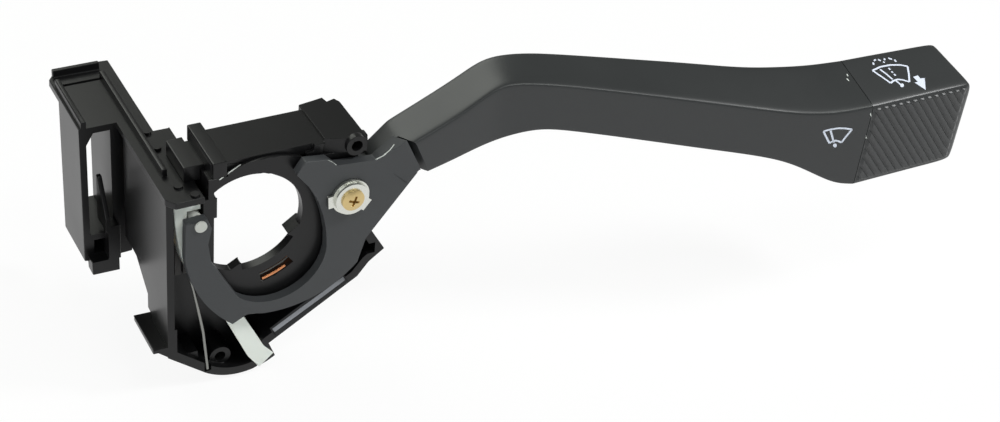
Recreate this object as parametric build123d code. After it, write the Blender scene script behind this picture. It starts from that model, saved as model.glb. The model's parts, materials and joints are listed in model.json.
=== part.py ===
"""Combination stalk switch for a steering column: wiper and washer lever on a moulded base.

Millimetres. X runs towards the lever's tip, Y away from the driver, Z up. The origin is on the
axis of the steering column, in the plane of the carrier plate's front face.
"""
from collections import namedtuple
from math import cos, radians, sin, sqrt, tan
import os

from build123d import *

os.makedirs("parts", exist_ok=True)

# Driving dimensions of the base housing
column_r = 14.1           # round column opening
column_clear_r = 8.6      # free radius inside the locating tabs
deck_t = 2.4
slide_gap = 0.5           # between the carrier plate and the deck
floor_t = 2.4
floor_clear = 0.6         # between the pressed plunger's head and the floor
drum_x = 4.0
drum_z = -5.0
drum_r = 23.0
drum_wall = 2.0
wall_t = 1.8
rim_t = 2.4
left_x = -20.4            # outer face of the left wall
shelf_z = 12.1            # top of the connector holder's plate
shelf_t = 1.8
shroud_end = 33.0
shroud_bottom = -20.0
wall_bottom = -33.0
top_z = 15.0              # top of the base under the contact cover
top_wall = 2.0
top_right = 29.5
top_depth = 20.0
divider_t = 1.4
foot_out = 3.6
foot_depth = 14.5
foot_t = 1.6
recess_bottom = -28.0     # lower end of the slider's recess
right_edge = 35.2         # of the floor behind the lever's neck
block_left = -11.2        # locating block between the recess and the column
block_right = -7.9
block_low = 3.7
block_high = 9.5
lip_left = -5.2           # thin lip in front of the contact cover
lip_right = 13.8
corner_hole_x = -6.0      # lower fixing hole
corner_hole_z = -42.2
corner_hole_r = 1.45
pegs = ((-15.4, 30.0), (-15.4, 23.0))
peg_r = 1.1
strap_back = 4.6          # back face of the guide strap, in its seat
swing_room = 2.8          # from the pivot to the wall beside the turned neck
far = 60.0                # beyond every face of the base

# Driving dimensions of the connector holder
tray_left = -30.0
tray_right = -13.6
tray_back = 64.0
tray_front = 36.7
frame_back = 52.4
frame_bottom = -28.5
frame_inner_right = -22.3
frame_outer_right = -17.4
frame_wall = 1.7
rib_h = 1.9
rib_w = 1.3
right_rib_x = -17.4
shelf_front = 0.9
shelf_right = -11.6
slit_w = 1.0

# Driving dimensions of the contact cover
cover_left = -9.0
cover_bar_right = 19.4
cover_front = 4.0
cover_back = 17.8
cover_z = 18.6
cap_block_back = 20.2
cap_block_front = 1.0
cover_hole_x = 26.9
cover_hole_z = 17.0
cover_hole_r = 1.45
strap_w = 3.5
strap_rise = 0.2
step_left = -14.2
step_top = 16.2

# Driving dimensions of the pivot
pivot_x = 25.0
pivot_z = 3.7
screw_r = 1.5
screw_head_r = 2.9
screw_head_t = 1.9
screw_length = 13.0
washer_r = 4.4
washer_t = 1.0
clip_r = 4.9
clip_t = 0.8
bush_r = 3.2
bush_gap = 0.05           # running clearance of the plate on its bush
face_gap = 0.15           # between the plate's front face and the clip washer
boss_r = 5.2

# Driving dimensions of the carrier plate
plate_t = 2.5
pin_x = -13.1
pin_z = 4.7
pin_r = 1.5
pin_gap = 0.3
wedge_rise = 2.0
groove = 1.25
lug_t = 4.0
lug_r = 2.7
lug_shift = -0.6          # along the hinge axis

# Driving dimensions of the slider and its contacts
slider_front = 4.2
slider_t = 4.2
slider_left = -18.2
slider_right = -11.6
slider_top = 9.6
slider_bottom = -9.5
first_contact_x = -16.8
contact_t = 0.8
contact_w = 1.5
contact_pitch = 2.1
leaf_t = 0.4
leaf_w = 1.1
contact_gap = 0.3
wire_r = 0.4
wire_end_z = -43.6
blade_w = 4.8
blade_t = 0.8
blade_out = 12.0

# Driving dimensions of the lever
lever_front = -2.0
knee_x = 64.4
lever_turn = 20.0         # how far the outer arm turns towards the driver
lever_end_x = 154.3
cap_gap = 0.2
cap_length = 32.6
cap_height = 23.6
cap_depth = 16.2
cap_top = 21.3
edge_r = 1.2
hinge_x = 36.0
hinge_y = 6.4
hinge_z = 8.2
hinge_lean = 25.0
hinge_r = 1.25
hinge_gap = 0.05
cheek_gap = 0.3
neck_front_gap = 0.4
tongue_left = 30.2        # the tongue reaches over the washer plunger
tongue_low = 2.4
tongue_high = 9.4
pull_angle = 6.0          # of the lever towards the driver, for the washer
pull_gap = 0.3            # left between the pulled lever and the plate
lever_depth = 12.0
spigot_length = 8.0
spigot_d = 8.0
spigot_h = 13.0

# Driving dimensions of the return spring and the washer switch
spring_x = 41.4
spring_z = 9.2
spring_r = 1.5
spring_wire_r = 0.25
spring_turns = 3.5
spring_length = 4.0
plunger_x = 31.6
plunger_z = 6.2
plunger_r = 1.2
plunger_travel = 0.6
plunger_head_t = 0.5
plunger_out = 2.0
switch_leaf_w = 3.0
rear_cover_t = 1.1
rear_cover_h = 6.4

deck_front = plate_t + slide_gap
tongue_back = lever_front + lever_depth
plunger_front = tongue_back + contact_gap
floor_front = plunger_front + plunger_head_t + plunger_travel + floor_clear
deck_back = deck_front + deck_t
floor_back = floor_front + floor_t
inner_left = left_x + wall_t
slider_back = slider_front + slider_t
recess_right = -column_clear_r - divider_t
divider_right = recess_right + divider_t
shelf_low = shelf_z - shelf_t


def slab(points, y0, y1):
    """A polygon drawn in X and Z, from y0 back to y1."""
    face = Plane.XZ.offset(-y1) * Polygon(*points, align=None)
    return extrude(face, amount=y1 - y0, dir=(0, -1, 0))


def slab_face(face, y0, y1):
    """A face drawn in the XZ plane at Y = 0, from y0 back to y1."""
    return extrude(Pos(0, y1, 0) * face, amount=y1 - y0, dir=(0, -1, 0))


def side(points, x0, x1):
    """A polygon drawn in Y and Z, from x0 to x1."""
    face = Plane.YZ.offset(x0) * Polygon(*points, align=None)
    return extrude(face, amount=x1 - x0, dir=(1, 0, 0))


def sheet(points, z0, z1):
    """A polygon drawn in X and Y, from z0 up to z1."""
    face = Plane.XY.offset(z0) * Polygon(*points, align=None)
    return extrude(face, amount=z1 - z0, dir=(0, 0, 1))


def disc(x, z, r, y0, y1):
    """A cylinder along Y."""
    return Pos(x, (y0 + y1) / 2, z) * Rot(90, 0, 0) * Cylinder(r, y1 - y0)


def block(x0, x1, y0, y1, z0, z1):
    """A box between two corners."""
    return Pos((x0 + x1) / 2, (y0 + y1) / 2, (z0 + z1) / 2) * Box(x1 - x0, y1 - y0, z1 - z0)


def outline_face(*edges):
    """A face in the XZ plane inside a closed run of lines and arcs."""
    return make_face(Wire(list(edges)))


def point(x, z):
    """A point of an outline, in X and Z."""
    return Vector(x, 0, z)


def run_of_lines(corners):
    """Lines from each corner to the next."""
    return [Line(a, b) for a, b in zip(corners, corners[1:])]


# Corners of the base below the shelf, seen from the driver
corner_left = point(left_x, wall_bottom - 3.5)
rim_left = point(-10.8, -44.5)
rim_low = point(-1.5, -47.8)
rim_right = point(8.1, -45.0)
rim_step = point(6.3, -40.3)
slope_end = point(30.1, -25.5)
clip_low = point(33.1, -21.6)
clip_out = point(37.2, -18.5)
clip_top = point(33.1, -11.3)
waist = point(27.5, -5.0)


def base_outline():
    """The closed outline of the base, with a round bottom."""
    corners = [waist, point(right_edge, -1.0), point(right_edge, 11.2)]
    corners += [point(top_right, top_z - top_wall), point(top_right, top_z)]
    corners += [point(recess_right, top_z), point(recess_right, shelf_low)]
    corners += [point(left_x, shelf_low), corner_left, rim_left]
    tail = [rim_right, rim_step, slope_end, clip_low, clip_out, clip_top, waist]
    round_bottom = ThreePointArc(rim_left, rim_low, rim_right)
    return outline_face(*run_of_lines(corners), round_bottom, *run_of_lines(tail))


def key_right():
    """Saw-tooth key at the right of the column opening."""
    return slab([(10.4, -6.5), (14.3, -3.7), (16.4, -5.6), (13.9, -8.6)], deck_front, deck_front + 4.2)


def key_low():
    """Smaller key at the bottom of the column opening."""
    return slab([(-1.6, -11.8), (-5.4, -14.0), (-4.6, -16.0), (-1.2, -15.4)], deck_front, deck_back)


# Guide strap, drawn from its upper end to the hook over the rim
strap_top_left = (-6.0, -27.6)
strap_top_right = (-2.0, -26.4)
strap_low_right = (4.9, -40.6)
strap_hook = [(7.6, -43.9), (3.9, -47.6), (0.9, -43.2), (0.3, -42.0)]


def strap_outline():
    """The white strip seen from the driver."""
    return [strap_top_left, strap_top_right, strap_low_right] + strap_hook


def wire_slot():
    """Slot in the rim for the lower end of the detent wire."""
    return block(-10.9, -9.1, deck_front - 1, deck_front + 3 * wire_r, wire_end_z - 0.6, -40.0)


def base_walls():
    """Rim and floor with the drum round the column opening."""
    face = base_outline()
    body = slab_face(face, deck_front, floor_back)
    body -= slab_face(offset(face, amount=-rim_t, kind=Kind.ARC), deck_front - 1, floor_front)
    under_cover = block(-far, far, 0, far, -far, top_z)
    under_cover -= block(-far, recess_right, 0, far, shelf_low, far)
    body += disc(drum_x, drum_z, drum_r, deck_front, floor_back) & under_cover
    body -= disc(drum_x, drum_z, drum_r - drum_wall, deck_back, floor_back + 1) & under_cover
    lip = disc(drum_x, drum_z, drum_r, deck_front, cover_front - 0.1)
    return body + (lip & block(lip_left, lip_right, 0, 10, top_z - 1, 30))


def shroud():
    """Housing of the terminal blades, open at the back."""
    outer = block(left_x, divider_right, floor_back - 0.5, shroud_end, shroud_bottom, shelf_low)
    inner_low = shroud_bottom + wall_t
    inner_top = shelf_low - wall_t
    return outer - block(inner_left, divider_right - wall_t, floor_back, shroud_end + 1, inner_low, inner_top)


def base_housing():
    """Main moulding with the column opening."""
    body = base_walls()
    # Recess of the slider, with its floor and right wall back in place
    body -= block(inner_left, recess_right, deck_front - 1, floor_front, recess_bottom, shelf_z)
    body += block(inner_left - 0.5, divider_right, floor_front, floor_back, recess_bottom, shelf_low)
    body += block(recess_right, divider_right, deck_front, floor_back, shroud_bottom, top_z)
    body += block(recess_right, top_right, deck_back - 1, top_depth, top_z - top_wall, top_z)
    # Left wall, which is deeper at the shroud than at the foot
    wall = [(deck_front, shelf_low), (shroud_end, shelf_low), (shroud_end, shroud_bottom), (25.0, -20.5)]
    wall += [(17.0, -26.7), (17.0, wall_bottom + 2.0), (deck_front, wall_bottom)]
    body += side(wall, left_x, inner_left)
    body += shroud()
    # Pivot boss, and room for the lever's neck with the guide of the washer plunger
    body += disc(pivot_x, pivot_z, boss_r, deck_front, floor_back)
    neck_left = pivot_x + boss_r + 0.2
    neck_top = top_z - top_wall
    body -= block(neck_left, right_edge + 5, deck_front - 1, floor_front, -9.5, neck_top)
    boss_side = pivot_z + sqrt(boss_r ** 2 - swing_room ** 2)
    body -= block(pivot_x + swing_room, neck_left + 0.1, deck_front - 1, floor_front, boss_side, neck_top)
    body -= disc(pivot_x, pivot_z, screw_r, deck_front - 1, screw_length)
    body -= disc(plunger_x, plunger_z, plunger_r + 0.05, floor_front - 1, floor_back + 1)
    # Foot at the lower left, lower fixing hole and rib in the bottom corner
    foot = [(left_x - foot_out, deck_front + 0.5), (left_x + 1.0, deck_front + 0.5)]
    foot += [(left_x + 1.0, deck_front + foot_depth), (left_x - foot_out, deck_front + foot_depth)]
    body += sheet(foot, wall_bottom - foot_t, wall_bottom)
    gusset = [(left_x - foot_out, wall_bottom), (left_x + 0.5, wall_bottom)]
    gusset.append((left_x + 0.5, wall_bottom - foot_out))
    body += slab(gusset, deck_front, deck_front + 3.0)
    body += disc(corner_hole_x, corner_hole_z, corner_hole_r + 1.4, deck_front + 2.0, floor_back)
    body -= disc(corner_hole_x, corner_hole_z, corner_hole_r, deck_front - 1, floor_back + 1)
    body += slab([(-18.2, -38.0), (-12.0, -38.0), (-12.0, -44.6)], deck_front + 1.5, floor_front + 0.5)
    # Column opening with its keys and the locating block
    body -= disc(0, 0, column_r, deck_front - 1, deck_back + 1) & block(divider_right, far, 0, far, -far, far)
    body += key_right()
    body += key_low()
    body += block(block_left, block_right, deck_front, deck_back, block_low, block_high)
    body -= ground_slot()
    # Slot of the clip block, seat of the guide strap and slot of the wire
    body -= block(31.0, 34.6, deck_front - 1, deck_front + 5.0, -19.0, -15.8)
    body += slab([(-4.6, -29.0), (-2.6, -28.2), (4.4, -42.0), (2.6, -43.0)], strap_back, floor_front + 0.5)
    body -= slab(strap_outline(), deck_front - 1, strap_back)
    body -= wire_slot()
    # Pegs that hold the connector holder
    for x, y in pegs:
        body += Pos(x, y, shelf_z - shelf_t / 2) * Cylinder(peg_r, shelf_t + 1.4)
    return body


def ground_slot():
    """Arc slot in the deck, between the ring and the carrier plate's inner edge."""
    slot = disc(0, 0, column_r + 5.6, deck_front - 1, deck_back + 1)
    slot -= disc(0, 0, column_r + 2.6, deck_front - 2, deck_back + 2)
    wedge = slab([(0, 0), (6.0, -30.0), (19.0, -24.0)], deck_front - 1, deck_back + 1)
    return slot & wedge


def ground_contact():
    """Copper strip that lies behind the slot of the deck."""
    strip = disc(0, 0, column_r + 5.2, deck_back, deck_back + 0.6)
    strip -= disc(0, 0, column_r + 3.0, deck_back - 1, deck_back + 2)
    wedge = slab([(0, 0), (2.0, -30.0), (24.0, -22.0)], deck_back, deck_back + 0.6)
    return strip & wedge


def connector_holder():
    """Shelf and tray with two ribs, and the frame below for the plug."""
    outside_x = left_x - 0.2
    plan = [(left_x, shelf_front + 2.2), (left_x + 1.6, shelf_front), (shelf_right, shelf_front)]
    plan += [(shelf_right, 20.0), (tray_right, 23.0), (tray_right, tray_back), (tray_right - 3.5, tray_back)]
    plan += [(tray_right - 4.0, tray_back - 1.2), (tray_right - 8.0, tray_back - 1.2)]
    plan += [(tray_right - 9.0, tray_back), (tray_left + 3.0, tray_back - 0.5), (tray_left, tray_back - 4.0)]
    plan += [(tray_left, tray_front), (outside_x, tray_front), (outside_x, shelf_front + 2.6)]
    body = sheet(plan, shelf_low, shelf_z)
    for x, y0 in ((tray_left + 1.2, tray_front), (right_rib_x, 12.0)):
        body += block(x - rib_w / 2, x + rib_w / 2, y0, tray_back - 7.0, shelf_z - 0.2, shelf_z + rib_h)
    rib_back = tray_back - 2.2
    rib_low = shelf_z - 0.2
    body += block(tray_left + 1.2, right_rib_x + 0.6, rib_back - rib_w, rib_back, rib_low, shelf_z + rib_h)
    slit_left = tray_left + 2.4
    slit_back = tray_back - 7.2
    body -= block(slit_left, right_rib_x + 1.0, slit_back - slit_w, slit_back, shelf_low - 1, shelf_z + 1)
    # Frame: walls joined at the top and bottom, open to the front and back
    frame = block(tray_left, frame_outer_right, tray_front, frame_back, frame_bottom, shelf_z)
    window_left = tray_left + frame_wall
    window = [(window_left, frame_bottom + 8.0), (window_left, 7.0), (window_left + 1.8, shelf_low)]
    window += [(frame_inner_right, shelf_low), (frame_inner_right, frame_bottom + 8.0)]
    frame -= slab(window, tray_front - 1, frame_back + 1)
    slot_left = tray_left + 2.6
    slot_right = frame_inner_right - 2.2
    slot_low = frame_bottom + 2.0
    frame -= block(slot_left, slot_right, tray_front - 1, frame_back + 1, slot_low, slot_low + 4.2)
    body += frame
    # Lower lip of the frame, seat of the latch and its ramp
    lip_front = tray_front - 3.2
    lip_back = tray_front + 0.5
    lip_right = frame_inner_right + 0.3
    body += block(tray_left + 1.0, lip_right, lip_front, lip_back, frame_bottom - 2.4, frame_bottom + 1.6)
    seat_left = frame_inner_right - 2.3
    seat_top = frame_bottom + 11.8
    body += block(seat_left, frame_inner_right + 0.7, lip_front, lip_back, frame_bottom + 1.4, seat_top)
    ramp_low = frame_bottom + 10.1
    ramp_high = frame_bottom + 23.9
    ramp_back = tray_front + 3.6
    ramp = [(ramp_back, ramp_low), (ramp_back, ramp_high), (ramp_back - 1.3, ramp_high)]
    ramp += [(lip_front, ramp_low + 4.4), (lip_front, ramp_low)]
    body += side(ramp, seat_left - 0.6, seat_left + 0.6)
    for x, y in pegs:
        body -= Pos(x, y, shelf_z) * Cylinder(peg_r, 3 * shelf_t)
    # Two round bosses on the front of the shelf
    for x, y in ((-16.0, 6.9), (-13.5, 2.6)):
        body += Pos(x, y, shelf_z + 0.2) * Cylinder(peg_r, 0.6)
    return body


def contact_cover():
    """Long cover on the top of the base, with a screw hole in its right end."""
    body = block(cover_left, cover_bar_right, cover_front, cover_back, top_z, cover_z)
    plan = [(cover_bar_right, cap_block_front + 3.0), (22.0, cap_block_front + 2.0)]
    plan += [(top_right, cap_block_front), (top_right, cap_block_back - 2.9)]
    plan += [(top_right - 0.9, cap_block_back - 1.4), (top_right - 3.1, cap_block_back - 2.0)]
    plan += [(top_right - 3.5, cap_block_back), (cover_bar_right, cap_block_back - 0.8)]
    body += sheet(plan, top_z, cover_z + 0.5)
    body += disc(cover_hole_x, cover_hole_z, cover_hole_r + 1.3, cap_block_front + 0.2, deck_front - 0.1)
    body -= disc(cover_hole_x, cover_hole_z, cover_hole_r, cap_block_front - 1, cap_block_back + 2)
    # Hook at the front corner of the bar
    hook = [(14.6, top_z + 0.2), (18.8, top_z + 0.6), (19.4, cover_z)]
    hook += [(16.6, cover_z), (16.4, top_z + 1.9), (14.6, top_z + 1.6)]
    body += slab(hook, cover_front - 1.0, cover_front + 0.5)
    # Lower step beside the strap, which rests on the connector holder
    body += block(step_left, recess_right - 0.2, 8.0, cap_block_back - 0.1, shelf_z, step_top)
    body += block(recess_right - 0.3, cover_left + 1.0, 8.0, cover_back, top_z, step_top)
    return body


def cover_strap():
    """Strap that runs over the left end of the cover and down its front."""
    high = cover_z + strap_rise + 0.6
    outer = [(cover_front - 1.0, top_z), (cover_front - 1.0, high)]
    outer += [(cap_block_back, high), (cap_block_back, top_z)]
    inner = [(cover_back, top_z), (cover_back, cover_z), (cover_front, cover_z), (cover_front, top_z)]
    profile = outer + inner
    return side(profile, cover_left + 0.1, cover_left + 0.1 + strap_w)


def groove_plane(shift):
    """The slanted plane between the carrier plate's wedge and the lever."""
    a = Vector(40.8, lever_front, 16.4)
    b = Vector(43.9, lever_front, 9.6)
    c = Vector(39.0, lever_front + 4.0, 16.0)
    normal = (b - a).cross(c - a).normalized()
    if normal.X < 0:
        normal = normal * -1
    return Plane(origin=a + normal * shift, z_dir=normal)


def half_space(plane, size=120.0):
    """Everything on the plane's positive side, as a big block."""
    return plane * Pos(0, 0, size / 2) * Box(size, size, size)


def plate_outline():
    """C-shaped outline of the carrier plate."""
    right_low = [point(44.8, 7.7), point(30.3, -11.1), point(28.3, -18.1)]
    tip = [point(1.6, -26.7), point(-1.1, -26.1), point(-4.8, -28.0)]
    left = [point(-16.8, -4.9), point(-16.7, 6.1), point(-11.4, 6.3), point(-10.3, 3.3), point(-11.2, -1.3)]
    left.append(point(-10.4, -6.8))
    top = [point(14.2, 8.9), point(11.0, 13.2), point(13.0, 16.6), point(18.8, 15.7), point(21.0, 13.5)]
    top += [point(31.5, 12.5), point(38.6, 18.0), right_low[0]]
    edges = run_of_lines(right_low)
    edges.append(ThreePointArc(right_low[-1], point(13.1, -26.8), tip[0]))
    edges += run_of_lines(tip)
    edges.append(ThreePointArc(tip[-1], point(-13.9, -15.5), left[0]))
    edges += run_of_lines(left)
    edges.append(ThreePointArc(left[-1], point(-6.2, -14.6), point(-3.3, -19.9)))
    edges.append(ThreePointArc(point(-3.3, -19.9), point(10.0, -23.1), point(19.6, -11.0)))
    edges.append(ThreePointArc(point(19.6, -11.0), point(18.6, -2.0), top[0]))
    return outline_face(*edges, *run_of_lines(top))


def hinge_place(shift=0.0):
    """A place on the lever's hinge axis, with Z along the axis."""
    return Pos(hinge_x, hinge_y, hinge_z) * Rot(0, -hinge_lean, 0) * Pos(0, 0, shift)


def hinge_cylinder(radius, length, shift=0.0):
    """A cylinder on the hinge axis."""
    return hinge_place(shift) * Cylinder(radius, length)


def hinge_lug():
    """Rounded lug on the back of the carrier plate, round the hinge axis."""
    eye = Cylinder(lug_r, lug_t)
    stem_y = plate_t - 0.3 - hinge_y
    stem = Pos(0, stem_y / 2, 0) * Box(2 * lug_r, abs(stem_y), lug_t)
    return hinge_place(lug_shift) * (eye + stem)


def carrier_plate():
    """C-shaped plate that swings on the pivot and carries the lever."""
    body = slab_face(plate_outline(), 0, plate_t)
    wedge = slab([(31.5, 12.4), (38.6, 18.0), (43.8, 9.3), (40.5, 3.4)], -wedge_rise, 0.4)
    facing = Vector(-0.26, -1.0, -0.2).normalized()
    slope = Plane(origin=(36.2, 0.0, 7.6), x_dir=(-0.62, 0, 0.79), z_dir=facing)
    body += wedge - half_space(slope)
    body -= half_space(groove_plane(-groove))
    body += hinge_lug()
    body -= hinge_cylinder(hinge_r + hinge_gap, 30.0)
    body -= disc(pivot_x, pivot_z, bush_r + bush_gap, -1, plate_t + 1)
    body -= disc(pin_x, pin_z, pin_r, -1, plate_t + 1)
    return body


def carrier_pin():
    """Pin pressed into the plate, which moves the slider."""
    return disc(pin_x, pin_z, pin_r, -0.5, slider_back - 0.4)


def pivot_bush():
    """Spacer bush that the plate turns on."""
    bush = disc(pivot_x, pivot_z, bush_r, -face_gap, deck_front)
    return bush - disc(pivot_x, pivot_z, screw_r, -1, deck_front + 1)


clip_back = -face_gap
clip_front = clip_back - clip_t
washer_front = clip_front - washer_t


def clip_washer():
    """Washer with two ears, under the round one."""
    body = disc(pivot_x, pivot_z, clip_r, clip_front, clip_back)
    for angle in (-4.0, -142.0):
        ear = block(-clip_r - 1.0, 0, clip_front, clip_back, -1.7, 1.7)
        body += Pos(pivot_x, 0, pivot_z) * Rot(0, angle, 0) * ear
    return body - disc(pivot_x, pivot_z, screw_r, clip_front - 1, clip_back + 1)


def pivot_washer():
    """Plain round washer under the screw's head."""
    body = disc(pivot_x, pivot_z, washer_r, washer_front, clip_front)
    return body - disc(pivot_x, pivot_z, screw_r, washer_front - 1, clip_front + 1)


def pivot_screw():
    """Screw with a low round head, turned in one profile."""
    tip = washer_front + screw_length
    corners = [(0, tip), (screw_r - 0.4, tip), (screw_r, tip - 0.6), (screw_r, washer_front)]
    corners += [(screw_head_r, washer_front), (screw_head_r, washer_front - 0.9)]
    edges = run_of_lines([Vector(x, y) for x, y in corners])
    # The dome is part of a sphere round a point on the axis
    top = washer_front - screw_head_t
    dome_h = screw_head_t - 0.9
    sphere_r = (screw_head_r ** 2 + dome_h ** 2) / (2 * dome_h)
    half_way = (screw_head_r / 2, top + sphere_r - sqrt(sphere_r ** 2 - screw_head_r ** 2 / 4))
    edges.append(ThreePointArc(corners[-1], half_way, (0, top)))
    edges.append(Line((0, top), corners[0]))
    return Pos(pivot_x, 0, pivot_z) * revolve(make_face(Wire(edges)), axis=Axis.Y)


def contact_slider():
    """Nylon slider with a fork round the carrier pin."""
    top_left = point(slider_left, slider_top)
    top_right_corner = point(slider_right, slider_top)
    low_right = point(slider_right, slider_bottom)
    low_left = point(-15.6, slider_bottom)
    edges = [ThreePointArc(low_left, point(-17.6, 1.0), top_left)]
    edges += run_of_lines([top_left, top_right_corner, low_right, low_left])
    body = slab_face(outline_face(*edges), slider_front, slider_back)
    half = pin_r + pin_gap
    fork_back = slider_back - 0.1
    fork = block(pin_x - half, slider_right + 1, slider_front - 1, fork_back, pin_z - half, pin_z + half)
    return body - fork


def strip_x(index):
    """Middle of one fixed contact."""
    return first_contact_x + index * contact_pitch


def fixed_contact(index):
    """Brass strip on the floor of the recess."""
    x = strip_x(index)
    return block(x - contact_w / 2, x + contact_w / 2, floor_front - contact_t, floor_front, -18.0, 9.0)


def bridge_contact(index):
    """Bent leaf from the slider's back to just in front of its fixed strip."""
    x = strip_x(index)
    foot_top = slider_top - 1.4
    foot_low = slider_top - 2.6
    reach = floor_front - contact_t - contact_gap
    start = slider_back
    rest = start + 0.9
    points = [(start, foot_top), (start, foot_low), (reach - leaf_t, -1.0), (rest, -6.5)]
    points += [(rest + leaf_t, -6.5), (reach, -1.0)]
    points += [(start + leaf_t, foot_low + 0.2), (start + leaf_t, foot_top)]
    return side(points, x - leaf_w / 2, x + leaf_w / 2)


def terminal_blade(index):
    """Flat blade that stands on the back of the recess floor."""
    x = first_contact_x + (index % 2) * 3.9
    z = -13.2 + (index // 2) * 8.4
    half_t = blade_t / 2
    half_w = blade_w / 2
    blade = block(x - half_t, x + half_t, floor_back, floor_back + blade_out, z - half_w, z + half_w)
    return chamfer(blade.faces().sort_by(Axis.Y)[-1].edges().filter_by(Axis.Z), 0.25)


def detent_wire():
    """Steel wire from the slider down to the bottom rim."""
    y = (plate_t + slider_front) / 2
    ends = [(-15.4, y, slider_bottom + 1.0), (-13.6, y, -17.0), (-11.2, y, -31.0), (-10.0, y, wire_end_z)]
    path = FilletPolyline(*ends, radius=30.0)
    ring = Plane(origin=path @ 0, z_dir=path % 0) * Circle(wire_r)
    return sweep(ring, path=path)


def guide_strap():
    """White strip in its seat, hooked over the lower right corner of the rim."""
    return slab(strap_outline(), deck_front - 0.1, strap_back)


# Lever sections: place along X, crease and bottom of the front face, depth, rise of the back edges
Station = namedtuple("Station", "x crease bottom depth rise")
arm_stations = (
    Station(33.0, 11.6, 1.6, lever_depth, -2.0),
    Station(38.9, 16.0, 5.2, lever_depth, 0.4),
    Station(51.0, 20.7, 8.2, lever_depth, 1.2),
    Station(61.8, 27.0, 11.2, lever_depth, 0.8),
    Station(66.4, 27.9, 12.4, lever_depth, 1.8),
    Station(73.5, 27.9, 14.7, lever_depth, 3.0),
    Station(80.0, 27.6, 14.3, lever_depth, 3.5),
    Station(101.0, 24.7, 10.7, 12.8, 4.2),
    Station(127.7, 20.7, 6.2, 14.4, 4.6),
    Station(137.0, 19.4, 4.0, 15.4, 5.4),
    Station(145.0, 19.5, -0.4, 16.0, 5.4),
    Station(150.0, 20.6, -2.8, 16.1, 5.0),
    Station(lever_end_x, 21.6, -3.1, cap_depth, 4.6),
)


def front_y(x):
    """The front face turns towards the driver at the knee."""
    if x <= knee_x:
        return lever_front
    return lever_front - (x - knee_x) * tan(radians(lever_turn))


def section(x, y, crease, bottom, depth, rise, drop, radius):
    """A four-cornered section of the lever with round corners, in a plane across X."""
    corners = [(y, crease), (y + depth, crease + rise), (y + depth, bottom + drop), (y, bottom)]
    face = Plane.YZ.offset(x) * make_face(Polyline(*corners, close=True))
    return fillet(face.vertices(), radius)


def arm_section(station):
    """The section of the arm at one station."""
    s = station
    return section(s.x, front_y(s.x), s.crease, s.bottom, s.depth, s.rise, s.rise * 0.6, edge_r)


def spigot_middle():
    """Middle of the joint between the lever and its end cap."""
    last = arm_stations[-1]
    return Vector(last.x, front_y(last.x) + last.depth / 2, (last.crease + last.bottom) / 2 + 1.0)


def pulled_plate():
    """Where the plate stands for the lever's material when the lever is pulled."""
    wedge_side = half_space(groove_plane(pull_gap - groove) * Rot(180, 0, 0))
    room = wedge_side & block(0, far, -far, plate_t + pull_gap, -far, far)
    lean = radians(hinge_lean)
    axis = Axis((hinge_x, hinge_y, hinge_z), (sin(lean), 0, -cos(lean)))
    return room.rotate(axis, -pull_angle)


def lever_body():
    """Cranked lever with a neck behind the carrier plate."""
    body = loft([arm_section(s) for s in arm_stations], ruled=True)
    neck_front = plate_t + neck_front_gap
    body -= half_space(groove_plane(0.0) * Rot(180, 0, 0)) & block(0, far, -far, neck_front, -far, far)
    body += block(tongue_left, arm_stations[1].x, neck_front, tongue_back, tongue_low, tongue_high)
    body -= pulled_plate()
    body -= disc(pivot_x, pivot_z, boss_r + 0.7, -far, far)
    body -= hinge_place(lug_shift) * Box(2 * lug_r + 1.6, 30, lug_t + 2 * cheek_gap)
    body -= hinge_cylinder(hinge_r, 12.0)
    pocket = Pos(spring_x, plate_t + spring_length / 2, spring_z) * Rot(90, 0, 0)
    body -= pocket * Cylinder(spring_r + 0.35, spring_length + 0.8)
    middle = spigot_middle()
    socket = Pos(middle.X - spigot_length / 2, middle.Y, middle.Z)
    return body - socket * Box(spigot_length + 0.4, spigot_d, spigot_h)


def return_spring():
    """Small coil between the plate's back and the lever."""
    height = spring_length - 3 * spring_wire_r
    coil = Helix(pitch=height / spring_turns, height=height, radius=spring_r)
    ring = Plane(origin=coil @ 0, z_dir=coil % 0) * Circle(spring_wire_r)
    spring = sweep(ring, path=coil, is_frenet=True)
    return Pos(spring_x, plate_t + spring_wire_r * 1.4, spring_z) * Rot(-90, 0, 0) * spring


def lever_end_cap():
    """Paddle at the lever's tip, with a spigot in the lever."""
    x0 = lever_end_x + cap_gap
    last = arm_stations[-1]
    y = front_y(lever_end_x)
    cap_low = cap_top - cap_height
    sections = [section(x0, y, last.crease, last.bottom, last.depth, last.rise, last.rise * 0.6, edge_r)]
    end = x0 + cap_length
    sections.append(section(end - 3.0, y, cap_top, cap_low, cap_depth, 3.6, 2.2, edge_r))
    sections.append(section(end, y + 0.4, cap_top - 1.4, cap_low + 1.0, cap_depth - 1.2, 3.0, 1.6, edge_r))
    middle = spigot_middle()
    length = spigot_length + cap_gap
    spigot = Box(length + 0.2, spigot_d - 0.1, spigot_h - 0.1)
    return loft(sections, ruled=True) + Pos(x0 - length / 2 + 0.3, middle.Y, middle.Z) * spigot


def lever_pivot_pin():
    """Pin through both cheeks of the neck and the lug."""
    return hinge_cylinder(hinge_r, 8.6, -0.8)


def washer_plunger():
    """Plunger that the neck pushes back when the lever is pulled."""
    body = disc(plunger_x, plunger_z, plunger_r, plunger_front, floor_back + plunger_out)
    return body + disc(plunger_x, plunger_z, plunger_r + 0.6, plunger_front, plunger_front + plunger_head_t)


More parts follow.
